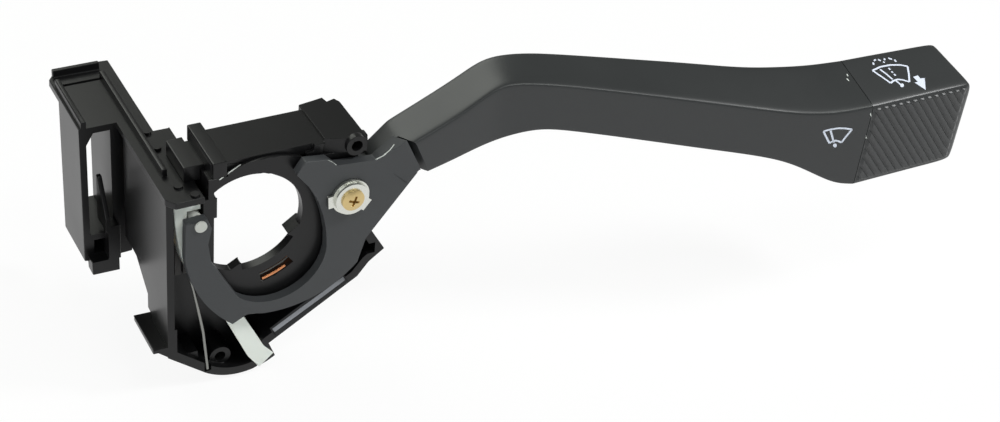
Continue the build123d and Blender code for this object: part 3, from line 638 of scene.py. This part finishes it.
class STALK_OT_paddle(bpy.types.Operator):
    """Paddle at the lever's tip with slanted ribs on its front"""

    bl_idname = "stalk.paddle"
    bl_label = "Paddle"

    def execute(self, context):
        sizes = context.scene.stalk_sizes
        edge = sizes.lever_edge / MM
        crease_edge = sizes.paddle_edge / MM
        rings = [section_points(*s, edge, crease_edge) for s in PADDLE_SECTIONS]
        x, crease, bottom, depth, rise = PADDLE_SECTIONS[-1]
        for ahead, inset in END_LOOPS:
            ring = section_points(x + ahead, crease - inset, bottom + inset, depth, rise, edge,
                                  crease_edge)
            middle = sum(ring, Vector()) / len(ring)
            front = min(p.y for p in ring)
            turn = (END_BACK - END_FRONT) / depth
            rings.append([Vector((p.x + END_FRONT * MM + (p.y - front) * turn,
                                  middle.y + (p.y - middle.y) * (1 - inset / END_CLOSED), p.z))
                          for p in ring])
        paddle = swept_piece("paddle", rings)
        apply_modifier(paddle, "SUBSURF", levels=SWEEP_LEVELS, render_levels=SWEEP_LEVELS)
        smooth(paddle, SWEEP_SMOOTH)
        settle(paddle, "paddle", "lever", "grained_abs")
        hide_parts("lever_end_cap")
        self.add_ribs(sizes)
        return {"FINISHED"}

    def add_ribs(self, sizes):
        """A skin over the front face, raised in slanted ribs that sink into it at its edges."""
        y = front_y(LEVER_END_X)
        pitch = sizes.rib_pitch / MM * math.sin(sizes.rib_lean)
        height = sizes.rib_height / MM
        fade_left, fade_right, fade_low, fade_top = RIBS_FADE
        clear_selection()
        bpy.ops.mesh.primitive_grid_add(x_subdivisions=SKIN_FACES[0], y_subdivisions=SKIN_FACES[1],
                                        size=2.0)
        skin = bpy.context.object
        for vert in skin.data.vertices:
            along, across = (vert.co.x + 1) / 2, (vert.co.y + 1) / 2
            top = RIBS_TOP_LEFT + (RIBS_TOP_RIGHT - RIBS_TOP_LEFT) * along
            x = RIBS_LEFT + (RIBS_RIGHT - RIBS_LEFT) * along
            z = RIBS_LOW + (top - RIBS_LOW) * across
            turn = (x * math.sin(sizes.rib_lean) + z * math.cos(sizes.rib_lean)) / pitch
            share = turn - math.floor(turn)
            ridge = min(fade(share, RIB_SIDES[0]), fade(1 - share, RIB_SIDES[1]))
            border = min(fade(x - RIBS_LEFT, fade_left), fade(RIBS_RIGHT - x, fade_right),
                         fade(z - RIBS_LOW, fade_low), fade(top - z, fade_top))
            vert.co = Vector((x, y + SKIN_SUNK - (SKIN_STAND + height * ridge) * border, z)) * MM
        apply_modifier(skin, "SOLIDIFY", thickness=SKIN_THICKNESS * MM, offset=-1.0)
        face_outwards(skin)
        smooth(skin, SKIN_SMOOTH)
        settle(skin, "paddle_ribs", "lever", "grained_abs")


# Mouldings, plate and slider

# The straight of the lower right rim, on the housing's front plane
RIM_START = (6.3, 3.0, -40.3)
RIM_END = (30.1, 3.0, -25.5)
RIM_SLOPE = math.radians(40.0)
# Width of the rim's outer part that stays flat
RIM_KEPT = 0.5
# Width and height of the cutter, and the length at the rim's ends that it spares
RIM_CUTTER = (3.0, 2.0)
RIM_SPARED = 5.0


class STALK_OT_mouldings(bpy.types.Operator):
    """Base housing with its sloped rim, connector holder, covers and guide strap"""

    bl_idname = "stalk.mouldings"
    bl_label = "Mouldings"

    def execute(self, context):
        edge = context.scene.stalk_sizes.mould_edge
        finish_moulding("base_housing", edge, "base", "polished_abs", self.rim_cutter())
        for node in ("connector_holder", "contact_cover", "cover_strap", "rear_cover"):
            finish_moulding(node, edge, "base", "polished_abs")
        finish_moulding("guide_strap", edge, "base", "natural_nylon")
        return {"FINISHED"}

    def rim_cutter(self):
        """Slopes the lower right rim towards the inside, which catches the light."""
        start, end = Vector(RIM_START), Vector(RIM_END)
        along = (end - start).normalized()
        inward = Vector((-along.z, 0.0, along.x))
        slope = (inward * math.cos(RIM_SLOPE) + Vector((0.0, math.sin(RIM_SLOPE), 0.0))).normalized()
        outward = slope.cross(along).normalized()
        if outward.y > 0:
            outward = -outward
        turn = Matrix((along, slope, outward)).transposed()
        width, height = RIM_CUTTER
        middle = (start + end) / 2 + inward * RIM_KEPT + slope * width / 2 + outward * height / 2
        return start_cube(((end - start).length - RIM_SPARED, width, height), middle, turn)


# The small turned and moulded pieces have their own edges, as shares of the mouldings'
PIN_EDGE = 1.4
PLUNGER_EDGE = 0.5


class STALK_OT_carrier(bpy.types.Operator):
    """Carrier plate with its wedge and pin"""

    bl_idname = "stalk.carrier"
    bl_label = "Carrier plate"

    def execute(self, context):
        edge = context.scene.stalk_sizes.mould_edge
        finish_moulding("carrier_plate", edge, "carrier", "filled_pbt")
        finish_moulding("carrier_pin", PIN_EDGE * edge, "carrier", "turned_acetal")
        return {"FINISHED"}


class STALK_OT_slider(bpy.types.Operator):
    """Contact slider and washer plunger of nylon"""

    bl_idname = "stalk.slider"
    bl_label = "Contact slider"

    def execute(self, context):
        edge = context.scene.stalk_sizes.mould_edge
        finish_moulding("contact_slider", edge, "slider", "natural_nylon")
        finish_moulding("washer_plunger", PLUNGER_EDGE * edge, "plunger",
                        "natural_nylon")
        return {"FINISHED"}


# The photograph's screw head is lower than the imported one
SCREW_HEAD_SHARE = 0.6
# Wings of the screw's cross recess in mm, their turns and how they narrow at the bottom
RECESS_WING = (3.5, 1.5, 0.7)
RECESS_TURNS = (20.0, 110.0)
RECESS_TAPER = (0.55, 0.7)
RECESS_SINK = 0.45
# Edge of the stamped washers
WASHER_EDGE = 0.14 * MM


class STALK_OT_pivot(bpy.types.Operator):
    """Pivot screw with a cross recess, and its washers"""

    bl_idname = "stalk.pivot"
    bl_label = "Pivot hardware"

    def execute(self, context):
        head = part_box("pivot_screw")[0][1]
        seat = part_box("pivot_washer")[0][1]
        screw = copy_of_node("pivot_screw")
        for vert in screw.data.vertices:
            if vert.co.y < seat:
                vert.co.y = seat + (vert.co.y - seat) * SCREW_HEAD_SHARE
        top = (seat + (head - seat) * SCREW_HEAD_SHARE) / MM
        place = Matrix.Translation(Vector((PIVOT.x, top + RECESS_SINK, PIVOT.z)) * MM)
        for angle in RECESS_TURNS:
            wing = start_cube(RECESS_WING, (0, 0, 0))
            for vert in wing.data.vertices:
                if vert.co.y > 0:
                    vert.co.x *= RECESS_TAPER[0]
                    vert.co.z *= RECESS_TAPER[1]
            wing.data.transform(Matrix.Rotation(math.radians(angle), 4, "Y"))
            wing.data.transform(place)
            cut(screw, wing)
        smooth(screw, MOULD_SMOOTH)
        settle(screw, "pivot_screw_finished", "base", "yellow_chromated_steel")
        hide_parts("pivot_screw")
        for node in ("pivot_washer", "clip_washer"):
            finish_moulding(node, WASHER_EDGE, "base", "zinc_plated_steel")
        return {"FINISHED"}


# Arc of the ground contact's lip, in degrees about the column and in mm
LIP_START = -77.5
LIP_END = -58.0
LIP_RADIUS = 19.15
LIP_DEPTH = 3.3
LIP_STEPS = 16
LIP_WIDTH = 0.45 * MM
LIP_HALF = 0.15 * MM


class STALK_OT_contacts(bpy.types.Operator):
    """Finishes of the contacts, blades, pins and springs, and the ground contact's lip"""

    bl_idname = "stalk.contacts"
    bl_label = "Contacts and springs"

    def execute(self, context):
        chosen = {
            "pivot_bush": "zinc_plated_steel",
            "lever_pivot_pin": "zinc_plated_steel",
            "detent_wire": "drawn_wire",
            "lever_return_spring": "drawn_wire",
            "ground_contact": "rolled_copper",
            "washer_leaf": "rolled_brass",
            "washer_contact": "rolled_brass",
        }
        for index in (1, 2, 3):
            chosen[f"fixed_contact_{index}"] = "near_black_brass"
            chosen[f"bridge_contact_{index}"] = "rolled_brass"
        for index in range(1, 7):
            chosen[f"terminal_blade_{index}"] = "rolled_brass"
        for node, finish in chosen.items():
            piece = cad_nodes[node]
            if not piece.material_slots:
                raise RuntimeError(f"{node} has no material slot")
            for material_slot in piece.material_slots:
                material_slot.link = "OBJECT"
                material_slot.material = finishes[finish]
        self.add_ground_lip()
        return {"FINISHED"}

    def add_ground_lip(self):
        """Lip of the ground contact that comes up at the outer edge of the deck's slot."""
        turns = [math.radians(LIP_START + (LIP_END - LIP_START) * i / LIP_STEPS)
                 for i in range(LIP_STEPS + 1)]
        places = [Vector((LIP_RADIUS * math.cos(t), LIP_DEPTH, LIP_RADIUS * math.sin(t))) * MM
                  for t in turns]
        mesh = bmesh.new()
        ribbon(mesh, places, [Vector((0.0, -1.0, 0.0))] * len(places), LIP_WIDTH, LIP_HALF)
        data = bpy.data.meshes.new("ground_contact_lip")
        mesh.to_mesh(data)
        mesh.free()
        lip = bpy.data.objects.new("ground_contact_lip", data)
        bpy.context.scene.collection.objects.link(lip)
        face_outwards(lip)
        settle(lip, "ground_contact_lip", "base", "rolled_copper")


# Signs, drawn on the photograph's pixels and laid on the surface behind them

WIPER_SIGN = (
    ((823.5, 131.3), (831.0, 129.3), (838.5, 128.2), (846.0, 128.4), (851.9, 129.4)),
    ((851.9, 129.4), (846.5, 136.0), (841.3, 142.5)),
    ((841.3, 142.5), (838.0, 141.0), (835.0, 140.6), (832.0, 141.6), (829.4, 143.1)),
    ((829.4, 143.1), (826.5, 137.5), (823.5, 131.3)),
    ((830.6, 130.6), (833.8, 142.5)),
)
WASHER_SIGN = (
    ((872.5, 70.6), (880.0, 67.0), (890.0, 65.0), (900.0, 65.0), (907.5, 66.3)),
    ((907.5, 66.3), (908.8, 74.0), (909.4, 81.9)),
    ((909.4, 81.9), (903.0, 80.0), (897.5, 79.4), (893.5, 80.8), (890.6, 83.1)),
    ((890.6, 83.1), (882.0, 77.0), (872.5, 70.6)),
    ((880.0, 69.4), (886.5, 74.2), (892.5, 79.4)),
    ((895.0, 80.0), (901.9, 85.6)),
)
WASHER_SPRAY = (
    ((888.5, 68.0), (890.3, 69.8)),
    ((891.4, 71.5), (892.8, 72.7)),
    ((894.0, 74.0), (895.6, 75.7)),
    ((873.5, 64.9), (873.2, 62.6)),
    ((874.0, 60.8), (875.6, 59.6)),
    ((878.0, 59.6), (880.8, 60.8)),
    ((884.7, 58.6), (884.3, 60.2)),
    ((884.0, 61.6), (883.8, 62.8)),
    ((888.2, 58.2), (892.0, 59.4)),
    ((894.3, 59.7), (896.1, 61.8)),
)
ARROW_SHAPE = ((913.1, 76.9), (917.9, 75.5), (920.1, 78.5), (924.6, 78.2), (925.7, 89.9), (914.4, 82.6),
               (917.9, 82.0), (915.6, 79.5))
WIPER_BALL = (834.9, 145.4)
WASHER_BALL = (902.0, 85.4)
BALL_PIXELS = 1.9
BALL_SIDES = 12
# Half thickness of a printed line and of a filled shape
LINE_LIFT = 0.03 * MM
SHAPE_LIFT = 0.04 * MM
# Pixels between two points of a line, and cuts in each edge of a filled shape
LINE_SPACING = 1.2
SHAPE_CUTS = 4

# Painted glints and a painted highlight, some on chipped edges: the pieces they lie on, body and slot,
# width in mm, finish and lines
MARKS = {
    # Painted glints on the plate's edges and along the gap by the wedge
    "plate_painted_glints": (("carrier_plate_finished",), "carrier", "plate_pbt", 0.3, "glint_and_chip_grey", (
        ((328.2, 160.2), (333.0, 162.4), (336.5, 165.2)),
        ((375.8, 159.6), (383.5, 155.6), (390.0, 150.0), (394.3, 144.4)),
    )),
    # Painted glint along the drum's outer edge
    "housing_painted_glint": (("base_housing_finished",), "base", "black_abs", 0.3, "glint_and_chip_grey", (
        ((219.4, 179.9), (230.0, 172.0), (240.8, 164.5)),
    )),
    # Painted highlight along the rim's slope
    "rim_painted_highlight": (("base_housing_finished",), "base", "black_abs", 1.0, "rim_highlight_grey", (
        ((273.5, 330.5), (298.5, 312.0), (323.5, 293.7), (344.0, 278.3)),
    )),
    # Chipped edges of the lever's seam, with their glints painted in pale grey
    "lever_chip_glints": (("lever_arm", "paddle"), "lever", "lever_abs", 0.28, "glint_and_chip_grey", (
        ((847.0, 74.0), (847.9, 76.2)),
        ((846.7, 78.5), (848.9, 81.0)),
        ((870.4, 113.5), (871.2, 116.7)),
        ((865.6, 135.2), (866.3, 138.4)),
    )),
}


def sight_line(pixel):
    """Direction from the camera through a pixel of the photograph."""
    focal = LENS_MM / SENSOR_MM * PHOTO_WIDTH
    back = CAMERA_RIGHT.cross(CAMERA_UP).normalized()
    across = (pixel[0] - PHOTO_WIDTH / 2) / focal
    upward = (PHOTO_HEIGHT / 2 - pixel[1]) / focal
    return (CAMERA_RIGHT * across + CAMERA_UP * upward - back).normalized()


def on_surface(trees, pixel):
    """The first surface behind a pixel, as a place and its normal."""
    origin = CAMERA_PLACE * MM
    hits = [tree.ray_cast(origin, sight_line(pixel)) for tree in trees]
    hits = [h for h in hits if h[0] is not None]
    if not hits:
        raise RuntimeError(f"nothing lies behind pixel {pixel}")
    place, normal, _, _ = min(hits, key=lambda h: h[3])
    return place, normal


def ribbon(mesh, places, normals, width, lift):
    """Adds a thin flat strip along the places to a mesh."""
    rows = []
    for index, (place, normal) in enumerate(zip(places, normals)):
        ahead = places[min(index + 1, len(places) - 1)] - places[max(index - 1, 0)]
        across = ahead.cross(normal).normalized() * width / 2
        top = place + normal * lift
        low = place - normal * lift
        rows.append([mesh.verts.new(p) for p in (low - across, top - across, top + across, low + across)])
    for a, b in zip(rows, rows[1:]):
        for i in range(4):
            j = (i + 1) % 4
            mesh.faces.new((a[i], a[j], b[j], b[i]))
    mesh.faces.new(rows[0])
    mesh.faces.new(reversed(rows[-1]))


def refine(points):
    """Adds points along the lines between pixels, so that a strip follows the surface."""
    result = [Vector(points[0])]
    for a, b in zip(points, points[1:]):
        a, b = Vector(a), Vector(b)
        count = max(1, round((b - a).length / LINE_SPACING))
        result += [a + (b - a) * i / count for i in range(1, count + 1)]
    return result


def patch(mesh, trees, outline):
    """Adds a thin filled shape, given in pixels, that follows the surfaces behind it."""
    flat = bmesh.new()
    flat.faces.new([flat.verts.new((x, y, 0.0)) for x, y in outline])
    bmesh.ops.triangulate(flat, faces=flat.faces[:])
    bmesh.ops.subdivide_edges(flat, edges=flat.edges[:], cuts=SHAPE_CUTS,
                              use_grid_fill=True)
    tops, lows = {}, {}
    for vert in flat.verts:
        place, normal = on_surface(trees, vert.co)
        tops[vert] = mesh.verts.new(place + normal * SHAPE_LIFT)
        lows[vert] = mesh.verts.new(place - normal * SHAPE_LIFT)
    for face in flat.faces:
        mesh.faces.new([tops[v] for v in face.verts])
        mesh.faces.new([lows[v] for v in reversed(face.verts)])
    for edge in flat.edges:
        if edge.is_boundary:
            a, b = edge.verts
            mesh.faces.new((tops[a], lows[a], lows[b], tops[b]))
    flat.free()


def surface_trees(names):
    """Search trees of the named pieces, for finding what lies behind a pixel."""
    trees = []
    for name in names:
        mesh = bmesh.new()
        mesh.from_mesh(bpy.data.objects[name].data)
        trees.append(BVHTree.FromBMesh(mesh))
        mesh.free()
    return trees


def drawn_on(name, trees, strokes, shapes, width, body, slot, finish):
    """Lines and filled shapes laid on the surfaces behind them, as one piece."""
    mesh = bmesh.new()
    for stroke in strokes:
        found = [on_surface(trees, p) for p in refine(stroke)]
        ribbon(mesh, [f[0] for f in found], [f[1] for f in found], width, LINE_LIFT)
    for shape in shapes:
        patch(mesh, trees, shape)
    data = bpy.data.meshes.new(name)
    mesh.to_mesh(data)
    mesh.free()
    drawn = bpy.data.objects.new(name, data)
    bpy.context.scene.collection.objects.link(drawn)
    face_outwards(drawn)
    settle(drawn, name, body, finish)


def ball(centre):
    """Outline of a small disc about a pixel."""
    turns = [i * math.tau / BALL_SIDES for i in range(BALL_SIDES)]
    return [(centre[0] + BALL_PIXELS * math.cos(t), centre[1] + BALL_PIXELS * math.sin(t))
            for t in turns]


class STALK_OT_signs(bpy.types.Operator):
    """Printed wiper, washer and arrow signs, and the painted glints and highlight"""

    bl_idname = "stalk.signs"
    bl_label = "Signs"

    def execute(self, context):
        width = context.scene.stalk_sizes.sign_line
        trees = surface_trees(("lever_arm", "paddle"))
        on_lever = ("lever", "lever_abs", "printed_ink")
        drawn_on("wiper_sign", trees, WIPER_SIGN, (ball(WIPER_BALL),), width, *on_lever)
        drawn_on("washer_sign", trees, WASHER_SIGN + WASHER_SPRAY, (ball(WASHER_BALL),), width,
                 *on_lever)
        drawn_on("arrow_sign", trees, (), (ARROW_SHAPE,), width, *on_lever)
        for name, (pieces, body, slot, mark_width, finish, strokes) in MARKS.items():
            drawn_on(name, surface_trees(pieces), strokes, (), mark_width * MM, body, slot, finish)
        return {"FINISHED"}


# Stage

# Middle of the whole switch, middle of the lever and the holder's side, in metres
SWITCH = (0.05, 0.0, 0.0)
LEVER = (0.14, -0.03, 0.01)
HOLDER = (-0.03, 0.02, -0.01)
# Lamps: direction, distance and size in metres, watts, colour, and the place that they look at.
# The crease strip draws the light line along the lever's crease and over the paddle's edge.
LAMPS = {
    "back_softbox": ((-0.21, 0.675, 0.71), 0.75, (0.55, 0.35), 1.95, (0.97, 1.0, 0.93), SWITCH),
    "top_strip": ((0.1, -0.4, 0.9), 0.7, (0.3, 0.12), 1.2, (0.97, 1.0, 0.97), SWITCH),
    "front_fill": ((-0.6, -0.95, 0.5), 1.0, (0.6, 0.6), 1.5, (0.94, 0.97, 1.0), SWITCH),
    "crease_strip": ((0.57, -0.34, 0.74), 0.7, (0.14, 0.14), 3.4, (0.99, 1.0, 1.0), LEVER),
    "side_softbox": ((-1.0, -0.12, 0.2), 0.55, (0.22, 0.5), 1.4, (1.0, 1.0, 1.0), HOLDER),
}
FLOOR_SIZE = 8.0
FLOOR_GAP = 1 * MM
# Fibres of the paper, about 2 mm, drawn coarse enough to show at this distance
FIBRE_MM = 2
# Share of the paper that shows as plain white to the camera, and its own tones
PAPER_WHITE = 0.9
PAPER_TONES = (0.86, 0.9)


def add_lamp(name, direction, distance, size, power, colour, target):
    """A soft rectangular lamp that looks at the switch."""
    data = bpy.data.lights.new(name, "AREA")
    data.shape = "RECTANGLE"
    data.size, data.size_y = size
    data.energy = power
    data.color = colour
    lamp = bpy.data.objects.new(name, data)
    bpy.context.scene.collection.objects.link(lamp)
    ray = Vector(direction).normalized()
    lamp.location = Vector(target) + ray * distance
    lamp.rotation_euler = ray.to_track_quat("Z", "Y").to_euler()


def paper_floor(tree):
    """White paper that still takes the object's shadow."""
    path = add_node(tree, "ShaderNodeLightPath")
    # The camera, and gloss and glass on the object, see plain white; light falls on matt paper
    seen = add_node(tree, "ShaderNodeMath", {"operation": "MAXIMUM"})
    tree.links.new(path.outputs["Is Camera Ray"], seen.inputs[0])
    tree.links.new(path.outputs["Is Glossy Ray"], seen.inputs[1])
    seen_through = add_node(tree, "ShaderNodeMath", {"operation": "MAXIMUM"})
    tree.links.new(seen.outputs[0], seen_through.inputs[0])
    tree.links.new(path.outputs["Is Transmission Ray"], seen_through.inputs[1])
    share = add_node(tree, "ShaderNodeMath", {"operation": "MULTIPLY", 1: PAPER_WHITE})
    tree.links.new(seen_through.outputs[0], share.inputs[0])
    place = add_node(tree, "ShaderNodeTexCoord").outputs["Object"]
    fibres = add_node(tree, "ShaderNodeTexNoise", {"Scale": 1 / (FIBRE_MM * MM), "Detail": 2.0},
                      Vector=place)
    tone = add_node(tree, "ShaderNodeMapRange", {"To Min": PAPER_TONES[0], "To Max": PAPER_TONES[1]},
                    Value=fibres.outputs["Fac"])
    matt = add_node(tree, "ShaderNodeBsdfDiffuse", Color=tone.outputs[0])
    lit = add_node(tree, "ShaderNodeEmission", {"Color": (1.0, 1.0, 1.0, 1.0), "Strength": 1.0})
    mixed = add_node(tree, "ShaderNodeMixShader", Fac=share.outputs[0])
    tree.links.new(matt.outputs[0], mixed.inputs[1])
    tree.links.new(lit.outputs[0], mixed.inputs[2])
    add_node(tree, "ShaderNodeOutputMaterial", Surface=mixed.outputs[0])


class STALK_OT_stage(bpy.types.Operator):
    """Floor, lamps, world and the camera of the photograph"""

    bl_idname = "stalk.stage"
    bl_label = "Stage"

    def execute(self, context):
        clear_selection()
        bpy.ops.mesh.primitive_plane_add(size=FLOOR_SIZE, location=(0.0, 0.0, cad_box[0][2] - FLOOR_GAP))
        floor = bpy.context.object
        floor.name = "paper_floor"
        paper_floor(new_finish("white_paper"))
        floor.data.materials.append(finishes["white_paper"])
        for name, lamp in LAMPS.items():
            add_lamp(name, *lamp)
        world = bpy.data.worlds.new("studio")
        context.scene.world = world
        world.use_nodes = True
        tree = world.node_tree
        tree.nodes.clear()
        path = add_node(tree, "ShaderNodeLightPath")
        plain = add_node(tree, "ShaderNodeBackground",
                         {"Color": (0.98, 1.0, 0.95, 1.0), "Strength": 0.26})
        white = add_node(tree, "ShaderNodeBackground",
                         {"Color": (1.0, 1.0, 1.0, 1.0), "Strength": 1.0})
        mixed = add_node(tree, "ShaderNodeMixShader", Fac=path.outputs["Is Camera Ray"])
        tree.links.new(plain.outputs[0], mixed.inputs[1])
        tree.links.new(white.outputs[0], mixed.inputs[2])
        add_node(tree, "ShaderNodeOutputWorld", Surface=mixed.outputs[0])
        context.scene.view_settings.view_transform = "Standard"
        data = bpy.data.cameras.new("photo_camera")
        data.lens = LENS_MM
        data.sensor_width = SENSOR_MM
        data.sensor_fit = "HORIZONTAL"
        data.clip_start = 0.01
        data.clip_end = 20.0
        camera = bpy.data.objects.new("photo_camera", data)
        context.scene.collection.objects.link(camera)
        right = CAMERA_RIGHT.normalized()
        back = right.cross(CAMERA_UP).normalized()
        up = back.cross(right)
        turn = Matrix((right, up, back)).transposed().to_4x4()
        camera.matrix_world = Matrix.Translation(CAMERA_PLACE * MM) @ turn
        context.scene.camera = camera
        return {"FINISHED"}


class STALK_PT_panel(bpy.types.Panel):
    """Steps of the stalk switch, in the order in which they are made"""

    bl_idname = "STALK_PT_panel"
    bl_label = "Stalk switch"
    bl_space_type = "VIEW_3D"
    bl_region_type = "UI"
    bl_category = "Stalk switch"

    def draw(self, context):
        for group in (context.scene.stalk_sizes, context.scene.stalk_colours):
            for key in group.__annotations__:
                self.layout.prop(group, key)
        for step in steps:
            self.layout.operator(step.bl_idname)


steps = (
    STALK_OT_mouldings,
    STALK_OT_carrier,
    STALK_OT_slider,
    STALK_OT_pivot,
    STALK_OT_contacts,
    STALK_OT_lever_arm,
    STALK_OT_paddle,
    STALK_OT_signs,
    STALK_OT_stage,
)
classes = (StalkColours, StalkSizes) + steps + (STALK_PT_panel,)


def register():
    for item in classes:
        bpy.utils.register_class(item)
    bpy.types.Scene.stalk_colours = PointerProperty(type=StalkColours)
    bpy.types.Scene.stalk_sizes = PointerProperty(type=StalkSizes)


def unregister():
    del bpy.types.Scene.stalk_sizes
    del bpy.types.Scene.stalk_colours
    for item in reversed(classes):
        bpy.utils.unregister_class(item)


def main():
    register()
    make_finishes()
    bpy.ops.stalk.mouldings()
    bpy.ops.stalk.carrier()
    bpy.ops.stalk.slider()
    bpy.ops.stalk.pivot()
    bpy.ops.stalk.contacts()
    bpy.ops.stalk.lever_arm()
    bpy.ops.stalk.paddle()
    bpy.ops.stalk.signs()
    bpy.ops.stalk.stage()


if __name__ == "__main__":
    main()
